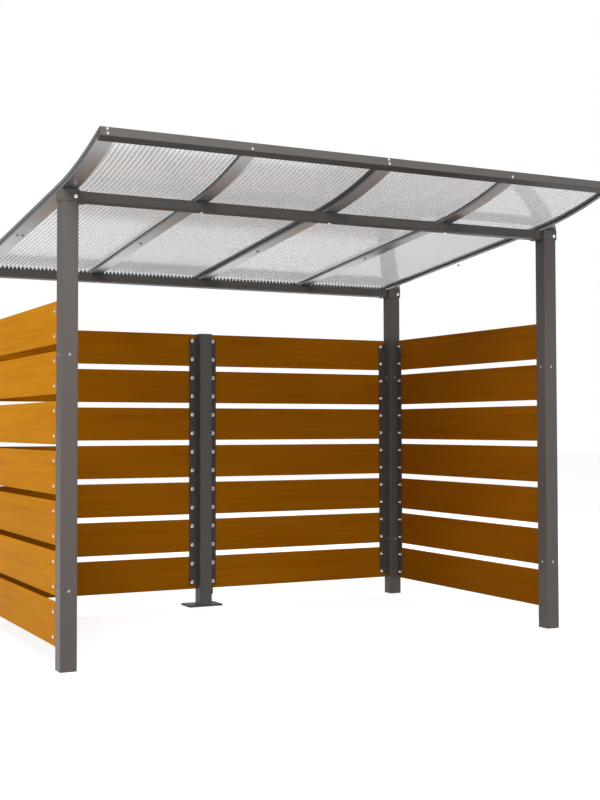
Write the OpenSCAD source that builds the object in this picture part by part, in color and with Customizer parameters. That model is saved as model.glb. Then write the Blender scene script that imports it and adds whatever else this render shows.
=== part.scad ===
// Open bin shelter: four corner posts and a middle post carry a pent roof that
// sweeps up over the entrance, with slatted board walls on the left, back and right.
// Frame of the modules: x from the left posts' outer face, y from the front posts'
// front face, z up from the ground. finished() moves it all to the part's own origin.

/* [Frame] */
// Overall width across the outer faces of the corner posts
width = 3000; // [2600:10:3600]
// Overall depth across the outer faces of the corner posts
depth = 1793; // [1500:10:2200]
// Height of the roof bars' underside above the ground, at the posts' front face
head_height = 2326; // [2150:1:2600]
// Side of the square posts
post_w = 85; // [70:1:100]
// Wall of the square posts
post_t = 3; // [2:0.5:5]
// Outer corner radius of the posts
post_r = 6; // [3.5:0.5:10]

/* [Post heads] */
// Wall of the sleeve round each post's top
sleeve_t = 3; // [2:0.5:5]
// Height of the sleeve below the roof bars, at the posts' front face
sleeve_h = 58; // [40:1:90]
// Thickness of the head plate between a post's top and the roof bar
head_plate = 8; // [5:0.5:16]
// Thickness of the rounded cheek on the sleeve's right side
ear_t = 3; // [2:0.5:8]
// Width of the cheek
ear_w = 56; // [40:1:70]
// How far the cheek stands up beside the roof bar
ear_rise = 9; // [4:0.5:11]
// Length of the socket that holds a purlin's end
socket_l = 40; // [25:1:80]
// Wall of the socket
socket_t = 3; // [2:0.5:5]

/* [Purlins] */
// Distance from a post's front face to the purlin's front face
purlin_setback = 27; // [20:1:32]
// Depth of a purlin, front to back
purlin_d = 50; // [36:1:60]
// Height of a purlin
purlin_h = 50; // [30:1:60]
// Wall of a purlin
purlin_t = 2.5; // [2:0.5:4]
// Outer corner radius of a purlin
purlin_r = 3; // [3:0.5:6]
// Distance of the drain hole in a purlin's front face from the left
drain_x = 1778; // [400:1:2200]
// Diameter of the drain hole
drain_d = 8; // [5:0.5:12]

/* [Roof] */
// Fall of the straight roof towards the back, in degrees
roof_fall = 5.9; // [3:0.1:9]
// Distance from the posts' front face to where the roof begins to curve up
bend_start = 90; // [89:1:160]
// Radius of the curve, to the underside of the roof bars
bend_radius = 2900; // [2000:10:4000]
// Angle that the curved front turns through, in degrees
bend_sweep = 12.6; // [8:0.1:16]
// How far the roof reaches past the back posts
rear_overhang = 115; // [60:1:160]

/* [Roof bars] */
// Width of the end bars, and of the cover strips
bar_w = 80; // [60:1:100]
// Width of the three inner bars
inner_bar_w = 72; // [50:1:100]
// Thickness of a roof bar
bar_t = 13; // [8:0.5:20]
// Wall of the flat hollow roof bar
bar_wall = 2.5; // [2:0.5:3.5]
// Thickness of the rubber gasket on a roof bar
gasket_t = 7; // [2:0.5:10]
// Thickness of the cover strips over the sheets' edges
cover_t = 2.5; // [2:0.5:6]
// Thickness of the web or flange under a cover strip
cover_web = 4; // [3:0.5:8]

/* [Roof sheets] */
// Thickness of the twin-wall sheet
sheet_t = 16; // [10:1:20]
// Wanted spacing of the sheet's inner webs
cell_pitch = 25; // [16:1:50]
// Thickness of the sheet's top and bottom skins
skin_t = 1.2; // [1:0.1:2]
// Thickness of the sheet's webs
web_t = 1; // [0.8:0.1:2]
// Room for heat growth at each side edge of a sheet
growth_gap = 3; // [1:0.5:6]
// Wall of the channel that closes the sheets' rear edge
channel_t = 1.5; // [1:0.5:3]
// Depth that the channel grips the sheet
channel_grip = 30; // [15:1:50]

/* [Front beam] */
// Height of the beam across the roof's front end, square to the roof
fascia_h = 47; // [44:1:70]
// Depth of the beam
fascia_d = 51; // [30:1:60]
// Wall of the beam
fascia_t = 2.5; // [2:0.5:4]
// Outer corner radius of the beam
fascia_r = 3; // [3:0.5:6]
// How far the beam hangs below the underside of the roof bars
fascia_drop = 11; // [4:1:20]
// Thickness of the beam's end caps
fascia_cap_t = 3; // [2:0.5:6]

/* [Walls] */
// Number of boards in each wall
board_count = 7; // [4:1:7]
// Height of a board
board_h = 210; // [150:1:220]
// Thickness of a board
board_t = 21; // [18:0.5:24]
// Radius of the boards' eased edges
board_edge = 3; // [1:0.5:6]
// Gap between boards
board_gap = 34; // [20:1:50]
// Height of the lowest board above the ground
board_foot = 111; // [60:1:150]
// Gap between a board's end and the post
board_end_gap = 2; // [1:0.5:8]
// Width of the flat rails that the boards are bolted to
rail_w = 53; // [30:1:60]
// Thickness of the rails
rail_t = 5; // [3:0.5:8]
// Corner radius of the rails
rail_r = 10; // [4:0.5:14]
// How far a rail stays short of the boards' top and bottom
rail_inset = 27; // [2:0.5:34]
// Width of the lug that hangs from the rail right of the middle post
lug_w = 32; // [24:1:40]
// How far the lug hangs below the boards
lug_drop = 42; // [10:1:50]

/* [Middle post] */
// Thickness of the cap on the middle post
mid_cap_t = 3; // [2:0.5:8]
// How far the cap stands past the post on each side
mid_cap_lip = 2; // [1:0.5:5]
// Length of the base plate, left to right
plate_l = 238; // [200:1:300]
// Width of the base plate, front to back
plate_w = 155; // [140:1:220]
// How far the base plate's middle lies behind the post's
plate_back = 30; // [0:1:34]
// Thickness of the base plate
plate_t = 10; // [6:0.5:16]
// Diameter of the anchor holes
anchor_d = 14; // [10:0.5:18]
// Distance from an anchor hole's centre to the plate's edges
anchor_edge = 22; // [18:1:26]
// Corner radius of the base plate
plate_r = 8; // [4:0.5:15]

/* [Fits] */
// Clearance of the sleeves and sockets round what they hold
fit_gap = 0.3; // [0.1:0.1:0.5]
// Clearance of the roof bars over the heads and purlins
seat_gap = 0.3; // [0.1:0.1:0.5]

/* [Hidden] */
$fn = 64;
// How far a cut runs on past the face that it opens
cut_margin = 1;
// Smallest radius of a tube's inner corners
least_r = 0.5;
// How far a socket runs into the sleeve's wall that it is welded to
weld_lap = 1;

// Colours of the finishes
metal = [0.38, 0.35, 0.34];
timber = [0.72, 0.46, 0.12];
rubber = [0.08, 0.08, 0.08];
clear_sheet = [0.86, 0.88, 0.90];

// The roof's line: the tops of the heads and purlins, falling straight to the back
function line_z(y) = head_height - y * tan(roof_fall);
// The lower end of a post's sleeve, at a whole millimetre
function sleeve_low(y) = round(line_z(y)) - sleeve_h;
// Height of the bend, with the bars' underside just clear of that line
bend_z = line_z(bend_start) + seat_gap;
// Straight length of the roof behind the bend
straight_l = (depth + rear_overhang - bend_start) / cos(roof_fall);
// Slope of the roof at its front end
front_slope = roof_fall + bend_sweep;

// Levels above the underside of the roof bars
sheet_low = bar_t + gasket_t;
sheet_high = sheet_low + sheet_t;
roof_high = sheet_high + cover_t;

// Front end of the underside line
front_y = bend_start - bend_radius * (sin(front_slope) - sin(roof_fall));
front_z = bend_z + bend_radius * (cos(roof_fall) - cos(front_slope));

// The gaskets under a sheet's middle stop at the lip of the rear channel
mid_gasket_l = straight_l - channel_grip - fit_gap;

// Reach of the whole shelter, for the origin
front_reach = front_y - fascia_d * cos(front_slope) - fascia_drop * sin(front_slope);
rear_reach = bend_start + straight_l * cos(roof_fall) + roof_high * sin(roof_fall);
centre_x = (width + ear_t) / 2;
centre_y = (front_reach + rear_reach) / 2;

// Roof bars, from left to right: the first, third and last carry a cover strip
bar_widths = [bar_w, inner_bar_w, inner_bar_w, inner_bar_w, bar_w];
bar_lefts = [0, width / 4 - inner_bar_w / 2, (width - inner_bar_w) / 2,
    width * 3 / 4 - inner_bar_w / 2, width - bar_w];

// Middle post and the wall bays
middle_x = (width - post_w) / 2;
wall_top = board_foot + board_count * board_h + (board_count - 1) * board_gap;
back_bay_l = middle_x - post_w;
side_bay_l = depth - 2 * post_w;
rail_low = board_foot + rail_inset;
rail_h = wall_top - board_foot - 2 * rail_inset;

// Purlin ends, seated against the post heads
purlin_left = post_w + sleeve_t + ear_t + fit_gap;
purlin_right = width - post_w - sleeve_t - fit_gap;

// Sheets, between the side flanges and the centre web of the cover strips
sheet_left = cover_web + growth_gap;
sheet_w = width / 2 - cover_web / 2 - growth_gap - sheet_left;
cells = round(sheet_w / cell_pitch);
cell_step = (sheet_w - web_t) / cells;

module finished() translate([-centre_x, -centre_y, 0]) children();

// Rectangle with round corners, from the origin
module round_rect(w, h, r) {
    translate([r, 0]) square([w - 2 * r, h]);
    translate([0, r]) square([w, h - 2 * r]);
    for (x = [r, w - r], y = [r, h - r]) translate([x, y]) circle(r);
}

// Section of a tube with round corners
module tube_section(w, h, r, wall) {
    difference() {
        round_rect(w, h, r);
        translate([wall, wall]) round_rect(w - 2 * wall, h - 2 * wall, max(r - wall, least_r));
    }
}

// Stands a (y, z) outline up and extrudes it along x
module along_x(length) rotate([90, 0, 90]) linear_extrude(length) children();

// Moves to the bend of the roof, with y along the straight roof and z square to it
module on_roof() translate([0, bend_start, bend_z]) rotate([-roof_fall, 0, 0]) children();

// Sweeps an (x, height) section along the roof, from the front end to rear_end
module along_roof(rear_end = straight_l) {
    on_roof() {
        translate([0, rear_end, 0]) rotate([90, 0, 0]) linear_extrude(rear_end) children();
        translate([0, 0, bend_radius]) rotate([0, 90, 0]) rotate_extrude(angle = -bend_sweep, $fn = 360)
            translate([bend_radius, 0]) rotate(90) children();
    }
}

// Moves to the front end of the roof, with y along the roof's end and z square to it
module on_front_end() translate([0, front_y, front_z]) rotate([-front_slope, 0, 0]) children();

// ---- Posts ----
module post(x, y) {
    top = line_z(y + post_w + sleeve_t) - head_plate;
    color(metal) finished() translate([x, y, 0])
        linear_extrude(top) tube_section(post_w, post_w, post_r, post_t);
}

// Outline of a post head in the (y, z) plane, cut to the roof's slope
module head_outline(y) {
    front = y - sleeve_t;
    back = y + post_w + sleeve_t;
    low = sleeve_low(y);
    polygon([[front, low], [back, low], [back, line_z(back)], [front, line_z(front)]]);
}

// Socket of a purlin's end: a channel open to the top
module purlin_socket(x, y, length) {
    outer_d = purlin_d + 2 * (socket_t + fit_gap);
    outer_h = purlin_h + fit_gap + socket_t;
    on_purlin(y) translate([x, 0, 0]) along_x(length) difference() {
        translate([-socket_t - fit_gap, -outer_h]) square([outer_d, outer_h]);
        translate([-fit_gap, -purlin_h - fit_gap]) square([purlin_d + 2 * fit_gap, outer_h]);
    }
}

// Moves to a purlin's top front edge, with y along the roof's slope
module on_purlin(y) {
    edge_y = y + purlin_setback;
    translate([0, edge_y, line_z(edge_y)]) rotate([-roof_fall, 0, 0]) children();
}

module post_head(x, y, socket_side) {
    post_top = line_z(y + post_w + sleeve_t) - head_plate;
    low = sleeve_low(y);
    ear_x = x + post_w + sleeve_t;
    ear_y = y + post_w / 2;
    ear_top = round(line_z(ear_y)) + ear_rise;
    socket_x = socket_side > 0 ? ear_x - weld_lap : x - sleeve_t - socket_l;
    socket_reach = weld_lap + (socket_side > 0 ? ear_t + socket_l : socket_l);
    pocket = post_w + 2 * fit_gap;
    color(metal) finished() {
        difference() {
            translate([x - sleeve_t, 0, 0]) along_x(post_w + 2 * sleeve_t) head_outline(y);
            translate([x - fit_gap, y - fit_gap, low - cut_margin])
                linear_extrude(post_top - low + cut_margin) round_rect(pocket, pocket, post_r + fit_gap);
        }
        translate([ear_x, 0, 0]) along_x(ear_t) {
            translate([ear_y - ear_w / 2, low]) square([ear_w, ear_top - low - ear_w / 2]);
            translate([ear_y, ear_top - ear_w / 2]) circle(d = ear_w);
        }
        purlin_socket(socket_x, y, socket_reach);
    }
}

module middle_post() {
    color(metal) finished() translate([middle_x, depth - post_w, plate_t])
        linear_extrude(wall_top - mid_cap_t - plate_t) tube_section(post_w, post_w, post_r, post_t);
}

module middle_post_cap() {
    side = post_w + 2 * mid_cap_lip;
    color(metal) finished()
        translate([middle_x - mid_cap_lip, depth - post_w - mid_cap_lip, wall_top - mid_cap_t])
            linear_extrude(mid_cap_t) round_rect(side, side, post_r + mid_cap_lip);
}

module base_plate() {
    x = (width - plate_l) / 2;
    y = depth - post_w / 2 + plate_back - plate_w / 2;
    color(metal) finished() translate([x, y, 0]) difference() {
        linear_extrude(plate_t) round_rect(plate_l, plate_w, plate_r);
        for (hx = [anchor_edge, plate_l - anchor_edge], hy = [anchor_edge, plate_w - anchor_edge])
            translate([hx, hy, -cut_margin]) cylinder(d = anchor_d, h = plate_t + 2 * cut_margin);
    }
}

// ---- Walls ----
// Outline of the flat rails that the boards are bolted to
module rail_outline() round_rect(rail_w, rail_h, rail_r);

// Rail of the back wall, with its left edge at x
module back_rail(x) {
    color(metal) finished() translate([x, depth - board_t, rail_low])
        rotate([90, 0, 0]) linear_extrude(rail_t) rail_outline();
}

// Rail of the back wall with a lug that hangs below the boards beside the post
module lug_rail(x) {
    reach = rail_inset + lug_drop;
    color(metal) finished() translate([x, depth - board_t, rail_low])
        rotate([90, 0, 0]) linear_extrude(rail_t) {
            rail_outline();
            translate([0, -reach]) round_rect(lug_w, reach + 2 * rail_r, rail_r);
        }
}

// Rail of a side wall, with its front edge at y and its left face at x
module side_rail(x, y) {
    color(metal) finished() translate([x, y, rail_low]) along_x(rail_t) rail_outline();
}

// Puts a board at each height of a wall
module each_board() {
    for (i = [0 : board_count - 1]) translate([0, 0, board_foot + i * (board_h + board_gap)]) children();
}

// Section of a board, with its edges eased
module board_section() round_rect(board_t, board_h, board_edge);

// Boards of a side wall, with their left face at x
module side_boards(x) {
    color(timber) finished() each_board() translate([x, depth - post_w - board_end_gap, 0])
        rotate([90, 0, 0]) linear_extrude(side_bay_l - 2 * board_end_gap) board_section();
}

// Boards of the back wall, in the bay that begins at x
module back_boards(x) {
    color(timber) finished() each_board() translate([x + board_end_gap, depth - board_t, 0])
        along_x(back_bay_l - 2 * board_end_gap) board_section();
}

// ---- Roof ----
module purlin(y) {
    difference() {
        color(metal) finished() on_purlin(y) translate([purlin_left, 0, 0])
            along_x(purlin_right - purlin_left) translate([0, -purlin_h])
                tube_section(purlin_d, purlin_h, purlin_r, purlin_t);
        finished() on_purlin(y) translate([drain_x, -cut_margin, -purlin_h / 2])
            rotate([-90, 0, 0]) cylinder(d = drain_d, h = purlin_t + 2 * cut_margin);
    }
}

module roof_bar(i) {
    color(metal) finished() along_roof() translate([bar_lefts[i], 0]) difference() {
        square([bar_widths[i], bar_t]);
        translate([bar_wall, bar_wall]) square([bar_widths[i] - 2 * bar_wall, bar_t - 2 * bar_wall]);
    }
}

// Gasket between a roof bar and the sheets, from the front end to rear_end
module gasket(i, rear_end = straight_l) {
    color(rubber) finished() along_roof(rear_end)
        translate([bar_lefts[i], bar_t]) square([bar_widths[i], gasket_t]);
}

// Twin-wall sheet: two skins joined by evenly spaced webs
module roof_sheet(x) {
    color(clear_sheet) finished() along_roof(straight_l - channel_t) translate([x, sheet_low]) difference() {
        square([sheet_w, sheet_t]);
        for (i = [0 : cells - 1]) translate([web_t + i * cell_step, skin_t])
            square([cell_step - web_t, sheet_t - 2 * skin_t]);
    }
}

// Cover strip: a flat top with a flange or a web down between the sheets' edges
module cover(left, web_x) {
    color(metal) finished() along_roof() {
        translate([left, sheet_high]) square([bar_w, cover_t]);
        translate([web_x, sheet_low]) square([cover_web, sheet_t]);
    }
}

// Channel that closes a sheet's rear edge between the strips over the roof bars
module rear_channel(left, right) {
    high = sheet_t + 2 * channel_t;
    color(metal) finished() on_roof() translate([left, 0, 0]) along_x(right - left)
        translate([straight_l - channel_grip, sheet_low - channel_t]) difference() {
            square([channel_grip, high]);
            translate([-cut_margin, channel_t]) square([channel_grip - channel_t + cut_margin, sheet_t]);
        }
}

// ---- Front beam ----
module fascia() {
    color(metal) finished() on_front_end() translate([fascia_cap_t, -fascia_d, -fascia_drop])
        along_x(width - 2 * fascia_cap_t) tube_section(fascia_d, fascia_h, fascia_r, fascia_t);
}

module fascia_cap(x) {
    color(metal) finished() on_front_end() translate([x, -fascia_d, -fascia_drop])
        along_x(fascia_cap_t) round_rect(fascia_d, fascia_h, fascia_r);
}

post(0, 0);  // post_front_left
post(width - post_w, 0);  // post_front_right
post(0, depth - post_w);  // post_back_left
post(width - post_w, depth - post_w);  // post_back_right
post_head(0, 0, 1);  // head_front_left
post_head(width - post_w, 0, -1);  // head_front_right
post_head(0, depth - post_w, 1);  // head_back_left
post_head(width - post_w, depth - post_w, -1);  // head_back_right
middle_post();
middle_post_cap();
base_plate();
side_rail(board_t, post_w);  // rail_left_front
side_rail(board_t, depth - post_w - rail_w);  // rail_left_back
back_rail(post_w);  // rail_back_left
back_rail(middle_x - rail_w);  // rail_middle_left
lug_rail(middle_x + post_w);  // rail_middle_right
back_rail(width - post_w - rail_w);  // rail_back_right
side_rail(width - board_t - rail_t, depth - post_w - rail_w);  // rail_right_back
side_rail(width - board_t - rail_t, post_w);  // rail_right_front
side_boards(0);  // boards_left
back_boards(post_w);  // boards_back_left
back_boards(middle_x + post_w);  // boards_back_right
side_boards(width - board_t);  // boards_right
purlin(0);  // purlin_front
purlin(depth - post_w);  // purlin_back
roof_bar(0);  // roof_bar_left
roof_bar(1);  // roof_bar_mid_left
roof_bar(2);  // roof_bar_centre
roof_bar(3);  // roof_bar_mid_right
roof_bar(4);  // roof_bar_right
gasket(0);  // gasket_left
gasket(1, mid_gasket_l);  // gasket_mid_left
gasket(2);  // gasket_centre
gasket(3, mid_gasket_l);  // gasket_mid_right
gasket(4);  // gasket_right
roof_sheet(sheet_left);  // roof_sheet_left
roof_sheet(width - sheet_left - sheet_w);  // roof_sheet_right
cover(0, 0);  // cover_left
cover((width - bar_w) / 2, (width - cover_web) / 2);  // cover_centre
cover(width - bar_w, width - cover_web);  // cover_right
rear_channel(bar_w, (width - bar_w) / 2);  // rear_channel_left
rear_channel((width + bar_w) / 2, width - bar_w);  // rear_channel_right
fascia();
fascia_cap(0);  // fascia_cap_left
fascia_cap(width - fascia_cap_t);  // fascia_cap_right
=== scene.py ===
"""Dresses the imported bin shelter: a powder-coated steel frame, oiled wall boards, an
aluminium and twin-wall sheet roof, and the nuts, bolts and screws that hold them.
Lengths are in metres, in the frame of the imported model: x to the right seen from the
open front, y towards the back wall, z up from the ground."""
import math

import bpy
from mathutils import Matrix, Vector


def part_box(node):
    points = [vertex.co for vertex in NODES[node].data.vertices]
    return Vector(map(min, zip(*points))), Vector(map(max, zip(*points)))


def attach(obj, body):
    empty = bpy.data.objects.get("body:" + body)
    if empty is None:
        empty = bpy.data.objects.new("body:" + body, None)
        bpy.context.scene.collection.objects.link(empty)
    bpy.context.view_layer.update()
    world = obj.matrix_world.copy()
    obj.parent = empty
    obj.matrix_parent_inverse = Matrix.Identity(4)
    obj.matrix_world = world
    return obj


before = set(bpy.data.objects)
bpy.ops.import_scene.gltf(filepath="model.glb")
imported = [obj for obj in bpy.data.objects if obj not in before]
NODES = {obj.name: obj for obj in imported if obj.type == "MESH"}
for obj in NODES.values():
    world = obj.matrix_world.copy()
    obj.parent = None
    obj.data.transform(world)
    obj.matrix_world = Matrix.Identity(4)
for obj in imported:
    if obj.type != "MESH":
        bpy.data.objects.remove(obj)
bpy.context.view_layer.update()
BODY = "root"

LEFT, RIGHT = Vector((-1, 0, 0)), Vector((1, 0, 0))
FRONT, BACK = Vector((0, -1, 0)), Vector((0, 1, 0))
DOWN, UP = Vector((0, 0, -1)), Vector((0, 0, 1))


# ---------------------------------------------------------------- node tree helpers

def add(tree, kind, label="", **settings):
    """Adds a node, with its plain properties set."""
    node = tree.nodes.new(kind)
    node.label = label
    for name, value in settings.items():
        setattr(node, name, value)
    return node


def feed(tree, node, **values):
    """Sets or links a node's inputs by name, with _ for a space."""
    for name, value in values.items():
        socket = node.inputs[name.replace("_", " ")]
        if isinstance(value, bpy.types.NodeSocket):
            tree.links.new(value, socket)
        else:
            socket.default_value = value
    return node


def math_node(tree, operation, first, second=0.0, label=""):
    """A Math node of two values."""
    node = add(tree, "ShaderNodeMath", label, operation=operation)
    for socket, value in zip(node.inputs, (first, second)):
        if isinstance(value, bpy.types.NodeSocket):
            tree.links.new(value, socket)
        else:
            socket.default_value = value
    return node.outputs[0]


def noise(tree, vector, scale, detail=2.0, roughness=0.5, label=""):
    """A noise value over a vector."""
    node = add(tree, "ShaderNodeTexNoise", label)
    feed(tree, node, Vector=vector, Scale=scale, Detail=detail, Roughness=roughness)
    return node.outputs["Fac"]


def remap(tree, value, low, high, to_low=0.0, to_high=1.0, label=""):
    """Stretches a value from one range to another, clamped."""
    node = add(tree, "ShaderNodeMapRange", label, clamp=True)
    feed(tree, node, Value=value, From_Min=low, From_Max=high, To_Min=to_low, To_Max=to_high)
    return node.outputs["Result"]


def mix_colour(tree, factor, first, second, blend="MIX", label=""):
    """A colour between two colours."""
    node = add(tree, "ShaderNodeMix", label, data_type="RGBA", blend_type=blend)
    for socket, value in ((node.inputs[0], factor), (node.inputs[6], first), (node.inputs[7], second)):
        if isinstance(value, bpy.types.NodeSocket):
            tree.links.new(value, socket)
        else:
            socket.default_value = value
    return node.outputs[2]


def shaded(tree, colour, shade):
    """A colour made lighter or darker by a value round 1."""
    even = feed(tree, add(tree, "ShaderNodeCombineXYZ"), X=shade, Y=shade, Z=shade)
    return mix_colour(tree, 1.0, colour, even.outputs[0], "MULTIPLY")


def new_group(name, inputs, outputs):
    """An empty shader group; inputs are (name, kind, default) and outputs (name, kind)."""
    group = bpy.data.node_groups.new(name, "ShaderNodeTree")
    for label, kind, default in inputs:
        socket = group.interface.new_socket(label, in_out="INPUT", socket_type="NodeSocket" + kind)
        socket.default_value = default
    for label, kind in outputs:
        group.interface.new_socket(label, in_out="OUTPUT", socket_type="NodeSocket" + kind)
    return group, add(group, "NodeGroupInput"), add(group, "NodeGroupOutput")


def place_group(tree, group, **values):
    """Places a group in a material with its own values."""
    node = add(tree, "ShaderNodeGroup", node_tree=group)
    return feed(tree, node, **values)


def new_material(name, **values):
    """A material with its Principled shader; returns material, tree, shader and place."""
    material = bpy.data.materials.new(name)
    material.use_nodes = True
    tree = material.node_tree
    shader = tree.nodes["Principled BSDF"]
    feed(tree, shader, **values)
    place = add(tree, "ShaderNodeTexCoord").outputs["Object"]
    return material, tree, shader, place


def emboss(tree, shader, height, depth):
    """Feeds a height through a Bump node into the shader's normal; depth is in metres."""
    bump = add(tree, "ShaderNodeBump")
    feed(tree, bump, Height=height, Distance=depth)
    tree.links.new(bump.outputs["Normal"], shader.inputs["Normal"])


# ---------------------------------------------------------------- surface effects

def make_coat_group():
    """Powder coat: a faint orange peel, with broad shifts of tone and gloss."""
    group, given, out = new_group(
        "powder_coat",
        [("Place", "Vector", (0, 0, 0)), ("Colour", "Color", (0.2, 0.2, 0.2, 1)),
         ("Tone", "Float", 0.06), ("Roughness", "Float", 0.4), ("Peel", "Float", 700.0)],
        [("Colour", "Color"), ("Roughness", "Float"), ("Height", "Float")])
    place = given.outputs["Place"]
    broad = noise(group, place, 2.3, 3.0, label="broad tone")
    swing = math_node(group, "MULTIPLY", math_node(group, "SUBTRACT", broad, 0.5), given.outputs["Tone"])
    coloured = shaded(group, given.outputs["Colour"], math_node(group, "ADD", swing, 1.0))
    patch = noise(group, place, 9.0, 2.0, label="gloss patches")
    dulling = math_node(group, "MULTIPLY", math_node(group, "SUBTRACT", patch, 0.5), 0.08)
    rough = math_node(group, "ADD", given.outputs["Roughness"], dulling)
    peel = noise(group, place, given.outputs["Peel"], 1.0, label="orange peel")
    feed(group, out, Colour=coloured, Roughness=rough, Height=peel)
    return group


def make_grain_group():
    """Planed board: long fibres, growth bands and a tone of its own for each board."""
    group, given, out = new_group(
        "board_grain",
        [("Along", "Float", 0.0), ("Across", "Float", 0.0), ("Through", "Float", 0.0),
         ("Board", "Float", 0.0), ("Light", "Color", (0.6, 0.3, 0.05, 1)),
         ("Dark", "Color", (0.4, 0.18, 0.03, 1))],
        [("Colour", "Color"), ("Roughness", "Float"), ("Height", "Float")])
    board = given.outputs["Board"]

    def stretched(along, across, shift):
        """A vector with the board's length squeezed, moved on for each board."""
        vector = add(group, "ShaderNodeCombineXYZ")
        moved = math_node(group, "ADD", given.outputs["Along"], math_node(group, "MULTIPLY", board, shift))
        feed(group, vector, X=math_node(group, "MULTIPLY", moved, along),
             Y=math_node(group, "MULTIPLY", given.outputs["Across"], across),
             Z=math_node(group, "MULTIPLY", given.outputs["Through"], across))
        return vector.outputs[0]

    drift = noise(group, stretched(0.8, 3.0, 3.7), 1.6, 2.0, label="broad shade")
    bands = noise(group, stretched(0.45, 16.0, 5.3), 2.2, 3.0, 0.55, label="growth bands")
    fibres = noise(group, stretched(2.5, 210.0, 7.9), 2.0, 3.0, 0.6, label="fibres")
    streaks = noise(group, stretched(1.1, 45.0, 11.3), 1.7, 2.0, 0.5, label="dark streaks")
    tone = add(group, "ShaderNodeTexWhiteNoise", "tone of the board", noise_dimensions="1D")
    feed(group, tone, W=board)

    # Each layer darkens the board as its value goes from low to high, by up to its share
    layers = [(bands, 0.42, 0.72, 0.42), (streaks, 0.60, 0.74, 0.40), (fibres, 0.40, 0.75, 0.16),
              (drift, 0.35, 0.70, 0.22), (tone.outputs["Value"], 0.0, 1.0, 0.14)]
    dark = 0.0
    for layer, low, high, share in layers:
        darker = math_node(group, "MULTIPLY", remap(group, layer, low, high), share)
        dark = math_node(group, "ADD", dark, darker)
    colour = mix_colour(group, math_node(group, "MINIMUM", dark, 1.0),
                        given.outputs["Light"], given.outputs["Dark"])
    relief = math_node(group, "ADD", math_node(group, "MULTIPLY", bands, 0.5), fibres)
    feed(group, out, Colour=colour, Roughness=remap(group, fibres, 0.3, 0.8, 0.42, 0.56), Height=relief)
    return group


def make_draw_group():
    """Drawn or rolled metal: fine lines along one direction and a faint cloud of stain."""
    group, given, out = new_group(
        "draw_lines",
        [("Place", "Vector", (0, 0, 0)), ("Lines", "Vector", (300, 4, 300)),
         ("Colour", "Color", (0.6, 0.6, 0.6, 1)), ("Roughness", "Float", 0.2)],
        [("Colour", "Color"), ("Roughness", "Float")])
    scaled = add(group, "ShaderNodeVectorMath", operation="MULTIPLY")
    group.links.new(given.outputs["Place"], scaled.inputs[0])
    group.links.new(given.outputs["Lines"], scaled.inputs[1])
    lines = noise(group, scaled.outputs["Vector"], 1.0, 2.0, label="draw lines")
    cloud = noise(group, given.outputs["Place"], 5.0, 3.0, label="stain")
    wear = math_node(group, "ADD", math_node(group, "MULTIPLY", lines, 0.5),
                     math_node(group, "MULTIPLY", cloud, 0.5))
    coloured = shaded(group, given.outputs["Colour"], remap(group, wear, 0.3, 0.7, 0.93, 1.05))
    dulling = math_node(group, "MULTIPLY", math_node(group, "SUBTRACT", wear, 0.5), 0.18)
    rough = math_node(group, "ADD", given.outputs["Roughness"], dulling)
    feed(group, out, Colour=coloured, Roughness=rough)
    return group


COAT = make_coat_group()
GRAIN = make_grain_group()
DRAW = make_draw_group()


# ---------------------------------------------------------------- materials

PEEL_DEPTH = 0.00012
GRAIN_DEPTH = 0.0004
# Twin-wall sheets: spacing and thickness of the inner webs, as in the CAD
CELL_PITCH = 0.025
WEB = 0.001
# A web's line fades out between these shares of a cell's width away from it
LINE_CORE, LINE_EDGE = 0.05, 0.13
# How strongly a sheet mirrors at a low angle, and how much its veil varies
MIRROR = 0.15
HAZE = 0.005


def grey(level):
    """A grey as a colour with alpha."""
    return (level, level, level, 1)


def coated_steel(name, colour, roughness, shine, peel=700.0):
    """Steel under powder coat; shine is the strength of its reflections, and peel how
    many bumps its orange peel has to a metre."""
    material, tree, shader, place = new_material(name, IOR=1.5, Specular_IOR_Level=shine)
    coat = place_group(tree, COAT, Place=place, Colour=(*colour, 1), Roughness=roughness, Peel=peel)
    feed(tree, shader, Base_Color=coat.outputs["Colour"], Roughness=coat.outputs["Roughness"])
    emboss(tree, shader, coat.outputs["Height"], PEEL_DEPTH)
    return material


def drawn_metal(name, colour, roughness, lines):
    """Bare metal with drawing lines, this many to a metre along x, y and z."""
    material, tree, shader, place = new_material(name, Metallic=1.0)
    draw = place_group(tree, DRAW, Place=place, Lines=lines, Colour=(*colour, 1), Roughness=roughness)
    feed(tree, shader, Base_Color=draw.outputs["Colour"], Roughness=draw.outputs["Roughness"])
    return material


def board_material(name, along, through, seed, light, dark):
    """Oiled board with its grain along x or y, in a light and a dark wood colour. Boards
    are told apart by their height, and walls by their seed."""
    material, tree, shader, place = new_material(name, IOR=1.45, Specular_IOR_Level=0.02)
    axes = add(tree, "ShaderNodeSeparateXYZ")
    tree.links.new(place, axes.inputs[0])
    height = math_node(tree, "SUBTRACT", axes.outputs["Z"], WALL_LOW.z - BOARD_GAP / 2)
    row = math_node(tree, "FLOOR", math_node(tree, "DIVIDE", height, BOARD_PITCH))
    board = math_node(tree, "ADD", row, seed)
    grain = place_group(tree, GRAIN, Along=axes.outputs[along], Across=axes.outputs["Z"],
                        Through=axes.outputs[through], Board=board,
                        Light=(*light, 1), Dark=(*dark, 1))
    feed(tree, shader, Base_Color=grain.outputs["Colour"], Roughness=grain.outputs["Roughness"])
    emboss(tree, shader, grain.outputs["Height"], GRAIN_DEPTH)
    return material


def rubber_material():
    """Black gasket rubber with a dusty bloom."""
    material, tree, shader, place = new_material("gasket_rubber", IOR=1.5)
    bloom = noise(tree, place, 60.0, 3.0, label="bloom")
    colour = mix_colour(tree, remap(tree, bloom, 0.4, 0.7), (0.012, 0.012, 0.013, 1), grey(0.03))
    feed(tree, shader, Base_Color=colour, Roughness=remap(tree, bloom, 0.3, 0.7, 0.5, 0.7))
    return material


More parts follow.
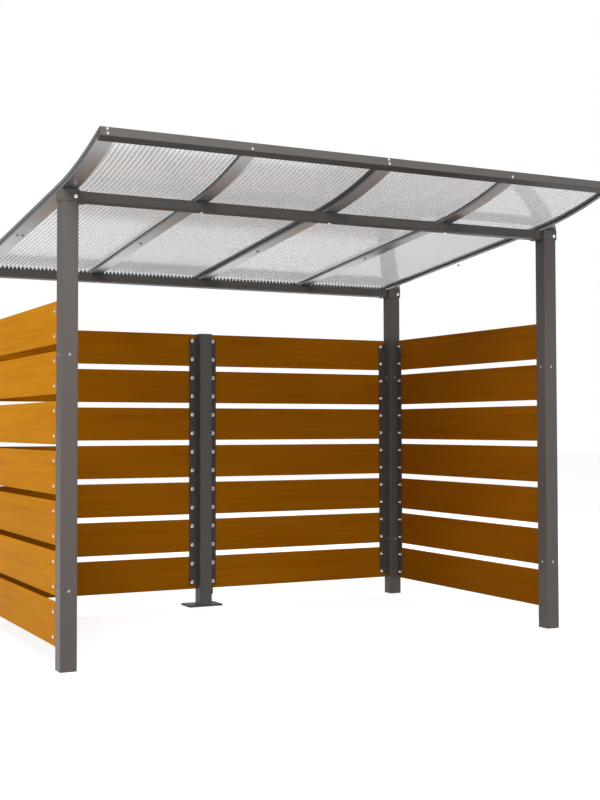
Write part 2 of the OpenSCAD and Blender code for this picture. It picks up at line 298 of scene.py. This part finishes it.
def sheet_material(node, clear_veil, web_veil):
    """Clear polycarbonate: each face veils what lies behind it a little, more where an
    inner web stands against it, and mirrors its surroundings at a low angle."""
    low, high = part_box(node)
    cells = round((high.x - low.x) / CELL_PITCH)
    step = (high.x - low.x - WEB) / cells
    material, tree, shader, place = new_material("twin_wall_" + node, IOR=1.58, Roughness=0.12,
                                                 Specular_IOR_Level=1.0)
    axes = add(tree, "ShaderNodeSeparateXYZ")
    tree.links.new(place, axes.inputs[0])
    along = math_node(tree, "SUBTRACT", axes.outputs["X"], low.x + WEB / 2)
    cell = math_node(tree, "DIVIDE", along, step)
    off_web = math_node(tree, "PINGPONG", cell, 0.5, "distance from a web")
    web = remap(tree, off_web, LINE_CORE, LINE_EDGE, 1.0, 0.0, "web line")
    haze = noise(tree, place, 3.0, 2.0, label="haze")
    veil = remap(tree, haze, 0.3, 0.7, clear_veil - HAZE, clear_veil + HAZE)
    cover = math_node(tree, "ADD", veil, math_node(tree, "MULTIPLY", web, web_veil))
    glance = feed(tree, add(tree, "ShaderNodeFresnel", "gloss at a low angle"), IOR=1.5)
    mirror = math_node(tree, "MULTIPLY", glance.outputs[0], MIRROR)
    cover = math_node(tree, "ADD", cover, mirror)
    feed(tree, shader, Base_Color=mix_colour(tree, web, grey(0.97), grey(0.50)), Alpha=cover,
         Metallic=math_node(tree, "DIVIDE", mirror, cover))
    return material


# ---------------------------------------------------------------- meshes of small parts

WASHER_RADIUS = 0.0120
# Button heads, as (radius, height)
POST_SCREW, FASCIA_BOLT = (0.0070, 0.0032), (0.0075, 0.0045)
BAR_BOLT, PURLIN_BOLT = (0.0088, 0.0045), (0.0085, 0.0050)


def lathe(profile, sides):
    """Turns (radius, height) points round z; a radius of 0 closes the form."""
    points, faces, rings = [], [], []
    for radius, height in profile:
        if radius == 0:
            rings.append([len(points)])
            points.append(Vector((0, 0, height)))
            continue
        rings.append([len(points) + i for i in range(sides)])
        for i in range(sides):
            angle = 2 * math.pi * i / sides
            points.append(Vector((radius * math.cos(angle), radius * math.sin(angle), height)))
    for low, high in zip(rings, rings[1:]):
        for i in range(sides):
            j = (i + 1) % sides
            ring = [low[i % len(low)], low[j % len(low)], high[j % len(high)], high[i % len(high)]]
            faces.append([p for k, p in enumerate(ring) if p not in ring[:k]])
    return points, faces


def joined(*forms):
    """Puts several (points, faces) forms into one."""
    points, faces = [], []
    for form_points, form_faces in forms:
        start = len(points)
        points += form_points
        faces += [[start + i for i in face] for face in form_faces]
    return points, faces


def dome(radius, low, high, steps):
    """Profile of a dome from its rim at height low to its crown at height high."""
    arc = []
    for i in range(steps):
        turn = math.pi / 2 * i / steps
        arc.append((radius * math.cos(turn), low + (high - low) * math.sin(turn)))
    return arc + [(0, high)]


def washer(radius, thickness):
    """A flat washer with a broken edge, its hole hidden by what it carries."""
    edge = thickness * 0.3
    side = [(radius, 0), (radius, thickness - edge), (radius - edge, thickness)]
    return lathe([(0, 0), *side, (0, thickness)], 28)


def hexagon(across, low, high):
    """A hexagon nut's body with its corners chamfered at the top."""
    corner = across / math.sqrt(3)
    chamfer = corner * 0.08
    side = [(corner, low), (corner, high - chamfer), (corner - chamfer, high)]
    return lathe([(0, low), *side, (0, high)], 6)


def dome_nut():
    """M10 dome nut on its washer, standing on the z = 0 plane."""
    plate_top, body_top, crown = 0.0020, 0.0085, 0.0165
    across, radius = 0.0170, 0.0078
    plate = washer(WASHER_RADIUS, plate_top)
    body = hexagon(across, plate_top, body_top)
    cap = lathe([(0, body_top), *dome(radius, body_top, crown, 7)], 24)
    return joined(plate, body, cap)


def coach_head():
    """M8 coach bolt's shallow dome head, on a rim that narrows towards its foot."""
    foot, radius, rim, crown = 0.0098, 0.0100, 0.0008, 0.0048
    return lathe([(0, 0), (foot, 0), *dome(radius, rim, crown, 6)], 28)


def button_head(radius, height):
    """Button-head screw with a hexagon socket sunk in its crown."""
    rim, socket, floor = height * 0.25, radius * 0.42, height * 0.35
    side = [(radius, 0), (radius, rim), (radius * 0.86, height * 0.70), (radius * 0.62, height)]
    return lathe([(0, 0), *side, (socket, height), (socket, floor), (0, floor)], 24)


def stand_on(form, foot, direction):
    """Stands a form made along +z on foot, pointing in direction."""
    turn = UP.rotation_difference(direction).to_matrix().to_4x4()
    place = Matrix.Translation(foot) @ turn
    points, faces = form
    return [place @ p for p in points], faces


def make_piece(name, forms, material, crease=32):
    """One object of joined forms, which rides on the body; crease is in degrees."""
    points, faces = joined(*forms)
    mesh = bpy.data.meshes.new(name)
    mesh.from_pydata([tuple(p) for p in points], [], faces)
    mesh.validate()
    mesh.shade_smooth()
    mesh.set_sharp_from_angle(angle=math.radians(crease))
    mesh.materials.append(material)
    piece = bpy.data.objects.new(name, mesh)
    bpy.context.scene.collection.objects.link(piece)
    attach(piece, BODY)


# ---------------------------------------------------------------- where things are

# Where probing lines start: off a face, off a post's middle, below and above the roof
OFF_FACE, OFF_POST = 0.1, 0.2
BELOW_ROOF, ABOVE_ROOF = 1.5, 3.0


def seat(node, start, direction):
    """Where a straight line from start first meets a CAD node, and the face's way out."""
    hit, place, normal, _ = NODES[node].ray_cast(Vector(start), Vector(direction))
    if not hit:
        raise RuntimeError(f"nothing of {node} lies that way")
    return place, normal


def centre(node):
    """Middle of a CAD node's box."""
    low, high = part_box(node)
    return (low + high) / 2


BOARD_ROWS = 7
BOARD_GAP = 0.034
WALL_LOW, WALL_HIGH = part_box("boards_left")
BOARD_PITCH = (WALL_HIGH.z - WALL_LOW.z + BOARD_GAP) / BOARD_ROWS
BOARD_HEIGHT = BOARD_PITCH - BOARD_GAP
NUT_SPACING = BOARD_PITCH / 2
FIRST_NUT = WALL_LOW.z + (BOARD_HEIGHT - NUT_SPACING) / 2

POSTS = ["post_front_left", "post_front_right", "post_back_left", "post_back_right"]
BARS = ["roof_bar_left", "roof_bar_mid_left", "roof_bar_centre", "roof_bar_mid_right",
        "roof_bar_right"]
# Each rail's boards, its way into the bay and to the post, and its nuts' distance from the post
RAILS = {
    "rail_left_front": ("boards_left", RIGHT, FRONT, 0.031),
    "rail_left_back": ("boards_left", RIGHT, BACK, 0.031),
    "rail_back_left": ("boards_back_left", FRONT, LEFT, 0.031),
    "rail_middle_left": ("boards_back_left", FRONT, RIGHT, 0.031),
    "rail_middle_right": ("boards_back_right", FRONT, LEFT, 0.031),
    "rail_back_right": ("boards_back_right", FRONT, RIGHT, 0.037),
    "rail_right_back": ("boards_right", LEFT, BACK, 0.035),
    "rail_right_front": ("boards_right", LEFT, FRONT, 0.031)}


# ---------------------------------------------------------------- finishes of the CAD nodes

FRAME_PAINT = coated_steel("frame_paint", (0.116, 0.099, 0.089), 0.40, 0.40)
# A darker copy of the frame's powder coat, painted shade for the back posts, the middle post and the beams
# under the roof.
SHADED_FRAME_PAINT = coated_steel("frame_paint_painted_shade", (0.102, 0.093, 0.086), 0.42, 0.32)
RAIL_PAINT = coated_steel("rail_paint", (0.085, 0.074, 0.066), 0.60, 0.15, peel=900.0)
CAP_PAINT = coated_steel("cap_paint", (0.100, 0.082, 0.074), 0.50, 0.4, peel=900.0)
# Drawn from front to back, or fine all ways
DRAWN, FINE = (220.0, 5.0, 220.0), (900.0, 900.0, 900.0)
ALUMINIUM = drawn_metal("glazing_aluminium", (0.49, 0.52, 0.535), 0.32, DRAWN)
# A much lighter copy of the glazing aluminium for the right end bar, painting the white reflection its
# underside shows.
END_BAR_PAINTED_REFLECTION = drawn_metal("end_bar_aluminium_painted_reflection", (0.90, 0.90, 0.90), 0.24, DRAWN)
DARK_BOLT = drawn_metal("blackened_bolt", (0.10, 0.10, 0.10), 0.35, FINE)
STAINLESS = drawn_metal("stainless", (0.80, 0.79, 0.78), 0.22, FINE)
SIDE_BOARDS = board_material("side_boards", "Y", "X", 0.0,
                             (0.715, 0.280, 0.004), (0.535, 0.190, 0.002))
# The back and right walls take darker copies of the left wall's wood colours: painted shade for the inside
# of the bay.
BACK_BOARDS_PAINTED_SHADE = board_material("back_boards", "X", "Y", 20.0,
                             (0.425, 0.143, 0.003), (0.300, 0.092, 0.001))
RIGHT_BOARDS_PAINTED_SHADE = board_material("right_boards_painted_shade", "Y", "X", 40.0,
                              (0.380, 0.124, 0.003), (0.262, 0.079, 0.001))
RUBBER = rubber_material()
# The left sheet takes a thicker veil and stronger web lines than the right one: painted shade for the
# darker surroundings it shows.
LEFT_SHEET_PAINTED_SHADE = sheet_material("roof_sheet_left", clear_veil=0.025, web_veil=0.16)
RIGHT_SHEET = sheet_material("roof_sheet_right", clear_veil=0.005, web_veil=0.13)

FINISHES = [
    (("post_", "head"), FRAME_PAINT),
    (("purlin", "fascia", "middle_post", "post_back"), SHADED_FRAME_PAINT),
    (("rail", "base_plate"), RAIL_PAINT),
    (("middle_post_cap", "fascia_cap"), CAP_PAINT),
    (("roof_bar", "cover", "rear_channel"), ALUMINIUM),
    (("roof_bar_right",), END_BAR_PAINTED_REFLECTION),
    (("boards_left",), SIDE_BOARDS),
    (("boards_back",), BACK_BOARDS_PAINTED_SHADE),
    (("boards_right",), RIGHT_BOARDS_PAINTED_SHADE),
    (("gasket",), RUBBER),
    (("roof_sheet_left",), LEFT_SHEET_PAINTED_SHADE),
    (("roof_sheet_right",), RIGHT_SHEET)]


def finish_nodes():
    """Gives every CAD node its material; a later line of FINISHES wins."""
    for name, node in NODES.items():
        for starts, material in FINISHES:
            if name.startswith(starts):
                node.data.materials.clear()
                node.data.materials.append(material)


# ---------------------------------------------------------------- nuts, bolts and screws

# Post screws: heights above the ground
SCREW_HEIGHTS = (0.385, 1.522)
# Head bolts: distance from the post's right side, and height above the post head's lower edge
HEAD_BOLT_INSET, HEAD_BOLT_RISE = 0.016, 0.0255
# Front beam: shares of its height below its top, and distance left of the bar's middle
UPPER_SHARE, LOWER_SHARE = 0.165, 0.525
FASCIA_SHIFT = 0.007
# Roof bars: distance behind the middle between the purlins, and places of the left bar's two
BAR_BOLT_BACK = 0.025
LEFT_BAR_SHIFTS = (-0.012, 0.016)
# Their washers' thickness, and how deep a head sinks in its washer
BAR_WASHER, HEAD_SINK = 0.0016, 0.0002


def nut_spots(rail, towards, from_post):
    """The middles of a rail's nuts, on an upright line at its distance from the post."""
    low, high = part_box(rail)
    line = (low + high) / 2 + towards * (abs((high - low).dot(towards)) / 2 - from_post)
    return [Vector((line.x, line.y, FIRST_NUT + i * NUT_SPACING)) for i in range(2 * BOARD_ROWS)]


def rail_nuts(rail, boards, inward, spots):
    """Dome nuts on a rail, and the heads of their bolts on the outer face of the boards."""
    nuts, heads = [], []
    for spot in spots:
        foot, _ = seat(rail, spot + inward * OFF_FACE, -inward)
        nuts.append(stand_on(dome_nut(), foot, inward))
        foot, _ = seat(boards, spot - inward * OFF_FACE, inward)
        heads.append(stand_on(coach_head(), foot, -inward))
    make_piece("nuts_" + rail, nuts, STAINLESS)
    make_piece("bolts_" + rail, heads, STAINLESS)


def post_screws(post):
    """Button-head screws low and high on a post's front and left faces."""
    middle = centre(post)
    forms = []
    for height in SCREW_HEIGHTS:
        for way in (FRONT, LEFT):
            level = Vector((middle.x, middle.y, height))
            foot, _ = seat(post, level + way * OFF_POST, -way)
            forms.append(stand_on(button_head(*POST_SCREW), foot, way))
    make_piece("screws_" + post, forms, ALUMINIUM)


def head_bolt(head, post):
    """Dome-headed bolt through a post head's front face, near its right edge."""
    low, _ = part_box(head)
    _, post_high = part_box(post)
    spot = (post_high.x - HEAD_BOLT_INSET, low.y - OFF_FACE, low.z + HEAD_BOLT_RISE)
    foot, _ = seat(head, spot, BACK)
    make_piece("bolt_" + head, [stand_on(coach_head(), foot, FRONT)], STAINLESS)


def fascia_bolts():
    """Button heads through the front beam into each bar: two at the main bars, one between."""
    low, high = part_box("fascia")
    forms = []
    for bar in BARS:
        shares = (LOWER_SHARE,) if "mid" in bar else (UPPER_SHARE, LOWER_SHARE)
        for share in shares:
            level = low.z + (high.z - low.z) * (1 - share)
            spot = (centre(bar).x - FASCIA_SHIFT, low.y - OFF_FACE, level)
            foot, out = seat("fascia", spot, BACK)
            forms.append(stand_on(button_head(*FASCIA_BOLT), foot, out))
    make_piece("bolts_fascia", forms, STAINLESS)


def bar_bolts():
    """Dark button heads on washers under the roof bars: two on the left bar, one on the others."""
    line = (centre("purlin_front").y + centre("purlin_back").y) / 2 + BAR_BOLT_BACK
    washers, heads = [], []
    for bar in BARS:
        shifts = LEFT_BAR_SHIFTS if bar == BARS[0] else (0.0,)
        for shift in shifts:
            foot, out = seat(bar, (centre(bar).x + shift, line, BELOW_ROOF), UP)
            washers.append(stand_on(washer(WASHER_RADIUS, BAR_WASHER), foot, out))
            head_foot = foot + out * (BAR_WASHER - HEAD_SINK)
            heads.append(stand_on(button_head(*BAR_BOLT), head_foot, out))
    make_piece("washers_roof_bars", washers, STAINLESS)
    make_piece("bolts_roof_bars", heads, DARK_BOLT)


def purlin_bolts(purlin, sideways, backward):
    """Bolt heads under a purlin by the three inner bars, off their middle and its own."""
    forms = []
    for bar in BARS[1:4]:
        spot = (centre(bar).x + sideways, centre(purlin).y + backward, BELOW_ROOF)
        foot, out = seat(purlin, spot, UP)
        forms.append(stand_on(button_head(*PURLIN_BOLT), foot, out))
    make_piece("bolts_" + purlin, forms, STAINLESS)


def make_fasteners():
    """Everything that holds the parts together."""
    for rail, (boards, inward, towards, from_post) in RAILS.items():
        rail_nuts(rail, boards, inward, nut_spots(rail, towards, from_post))
    for post in POSTS:
        post_screws(post)
        head_bolt(post.replace("post", "head"), post)
    fascia_bolts()
    bar_bolts()
    purlin_bolts("purlin_front", sideways=0.006, backward=0.008)
    purlin_bolts("purlin_back", sideways=0.020, backward=0.004)


# ---------------------------------------------------------------- dark toothed strips at the rear, painted shade

# Strips: thickness, distance behind the purlin's front, gap to a bar, height between the teeth
COMB_DEPTH, COMB_BACK, COMB_GAP, COMB_HEIGHT = 0.008, 0.018, 0.002, 0.006
# Teeth: distance of the first from the seal's end, width and height
TOOTH_START, TOOTH_WIDTH, TOOTH_HEIGHT = 0.006, 0.012, 0.0185


def strip_form(first, last, up, outline):
    """A closed bar of the given (depth, height) outline between two points along x."""
    back = up.cross(RIGHT).normalized()
    count = len(outline)
    points = [foot + back * depth + up * height for foot in (first, last) for depth, height in outline]
    faces = [[i, count + i, count + (i + 1) % count, (i + 1) % count] for i in range(count)]
    return points, [*faces, list(range(count)), list(range(count, 2 * count))[::-1]]


def comb_outline(height):
    """Half-round top on straight sides, as (depth, height) points."""
    half = COMB_DEPTH / 2
    turns = [math.pi * i / 8 for i in range(9)]
    top = [(-half * math.cos(turn), height - half + half * math.sin(turn)) for turn in turns]
    return [(-half, 0.0), *top, (half, 0.0)]


def shade_comb_strips():
    """Dark rubber strips with upright teeth, one to each sheet cell, on the back purlin from bar to bar
    under the sheets: painted shade and reflection for the dark comb at the sheets' rear ends.
    """
    low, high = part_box("purlin_back")
    line = low.y + COMB_BACK
    forms = []
    for left, right in zip(BARS, BARS[1:]):
        start = max(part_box(left)[1].x, low.x) + COMB_GAP
        end = min(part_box(right)[0].x, high.x) - COMB_GAP
        first, up = seat("purlin_back", (start, line, ABOVE_ROOF), DOWN)
        last, _ = seat("purlin_back", (end, line, ABOVE_ROOF), DOWN)
        forms.append(strip_form(first, last, up, comb_outline(COMB_HEIGHT)))
        # Dark teeth, one to each cell, are the painted shade of the comb
        for i in range(int((end - start) / CELL_PITCH)):
            tooth = first + RIGHT * (CELL_PITCH * i + TOOTH_START)
            forms.append(strip_form(tooth, tooth + RIGHT * TOOTH_WIDTH, up, comb_outline(TOOTH_HEIGHT)))
    make_piece("shade_comb_strips", forms, RUBBER, crease=50)


# ---------------------------------------------------------------- floor, light and camera

# Half the floor's width, and its height just below the feet
FLOOR_HALF, FLOOR_LEVEL = 40.0, -0.001
# The floor's own glow for the camera and for gloss, which makes it read white
FLOOR_GLOW = 0.77
# Strength of the sky's light on the shelter
SKY = 0.45
# Gloss sees a darker sky this way: level there, and cosines of the way off it where the
# dark starts and where it is full
CURTAIN = (-0.866, 0.5, 0.0)
CURTAIN_LEVEL = 0.30
CURTAIN_START, CURTAIN_FULL = 0.35, 0.70
# Lamps: name, place, aim, size and watts
LAMPS = [
    ("key", (-3.5, -5.0, 6.0), (-0.5, 0, 1.0), 3.0, 420.0),
    ("front_fill", (-0.5, -8.5, 4.0), (0, 0, 1.2), 4.0, 105.0),
    ("left_fill", (-6.5, 2.0, 1.5), (-1.5, 0.2, 1.0), 2.6, 120.0),
    ("back_fill", (5.5, 6.5, 5.0), (0.5, 0.5, 1.2), 4.0, 350.0)]


def seen_through_gloss(tree, paths):
    """1 for rays off gloss or through glass, and 0 for the rest."""
    return math_node(tree, "MAXIMUM", paths.outputs["Is Glossy Ray"], paths.outputs["Is Transmission Ray"])


def make_floor():
    """A wide pale floor that reads white and keeps the shelter's soft shadow. It bounces
    less light than it shows, so that the shelter's underside stays as dark as it is."""
    material, tree, shader, _ = new_material("floor", Roughness=0.9, Specular_IOR_Level=0.0)
    paths = add(tree, "ShaderNodeLightPath")
    seen = math_node(tree, "MAXIMUM", seen_through_gloss(tree, paths), paths.outputs["Is Camera Ray"])
    feed(tree, shader, Base_Color=mix_colour(tree, seen, grey(0.10), grey(0.45)),
         Emission_Color=grey(1), Emission_Strength=math_node(tree, "MULTIPLY", seen, FLOOR_GLOW))
    corners = [(-1, -1), (1, -1), (1, 1), (-1, 1)]
    mesh = bpy.data.meshes.new("floor")
    mesh.from_pydata([(x * FLOOR_HALF, y * FLOOR_HALF, FLOOR_LEVEL) for x, y in corners],
                     [], [(0, 1, 2, 3)])
    mesh.materials.append(material)
    floor = bpy.data.objects.new("floor", mesh)
    bpy.context.scene.collection.objects.link(floor)


def make_sky():
    """Even studio light from all round. Seen directly it is white; gloss sees white too,
    but for a dark curtain beyond the left wall."""
    world = bpy.data.worlds.new("studio")
    world.use_nodes = True
    bpy.context.scene.world = world
    tree = world.node_tree
    sky = tree.nodes["Background"]
    way = add(tree, "ShaderNodeTexCoord").outputs["Generated"]
    towards = add(tree, "ShaderNodeVectorMath", "share of the curtain", operation="DOT_PRODUCT")
    tree.links.new(way, towards.inputs[0])
    towards.inputs[1].default_value = CURTAIN
    mirrored = remap(tree, towards.outputs["Value"], CURTAIN_START, CURTAIN_FULL, 1.0, CURTAIN_LEVEL)
    paths = add(tree, "ShaderNodeLightPath")
    extra = math_node(tree, "MULTIPLY", seen_through_gloss(tree, paths),
                      math_node(tree, "SUBTRACT", mirrored, SKY))
    level = math_node(tree, "MAXIMUM", math_node(tree, "ADD", extra, SKY), paths.outputs["Is Camera Ray"])
    feed(tree, sky, Color=grey(1), Strength=level)


def make_lamp(name, place, aim, size, power):
    """A soft square lamp at place, pointing at aim."""
    data = bpy.data.lights.new(name, "AREA")
    data.size = size
    data.energy = power
    lamp = bpy.data.objects.new(name, data)
    lamp.location = place
    lamp.rotation_euler = (Vector(aim) - Vector(place)).to_track_quat("-Z", "Y").to_euler()
    lamp.visible_camera = False
    lamp.visible_glossy = False
    lamp.visible_transmission = False
    bpy.context.scene.collection.objects.link(lamp)


def make_camera():
    """Low three-quarter view from the front left."""
    data = bpy.data.cameras.new("camera")
    data.sensor_width = 36.0
    data.lens = 55.601
    data.shift_x = 0.04904
    data.shift_y = -0.01722
    camera = bpy.data.objects.new("camera", data)
    camera.location = (-3.2378, -6.4129, 1.1658)
    camera.rotation_euler = (math.radians(91.9327), math.radians(0.0709), math.radians(-25.9867))
    bpy.context.scene.collection.objects.link(camera)
    bpy.context.scene.camera = camera


make_camera()
finish_nodes()
make_fasteners()
shade_comb_strips()
make_floor()
make_sky()
for lamp_name, place, aim, size, power in LAMPS:
    make_lamp(lamp_name, place, aim, size, power)
bpy.context.scene.view_settings.view_transform = "Standard"
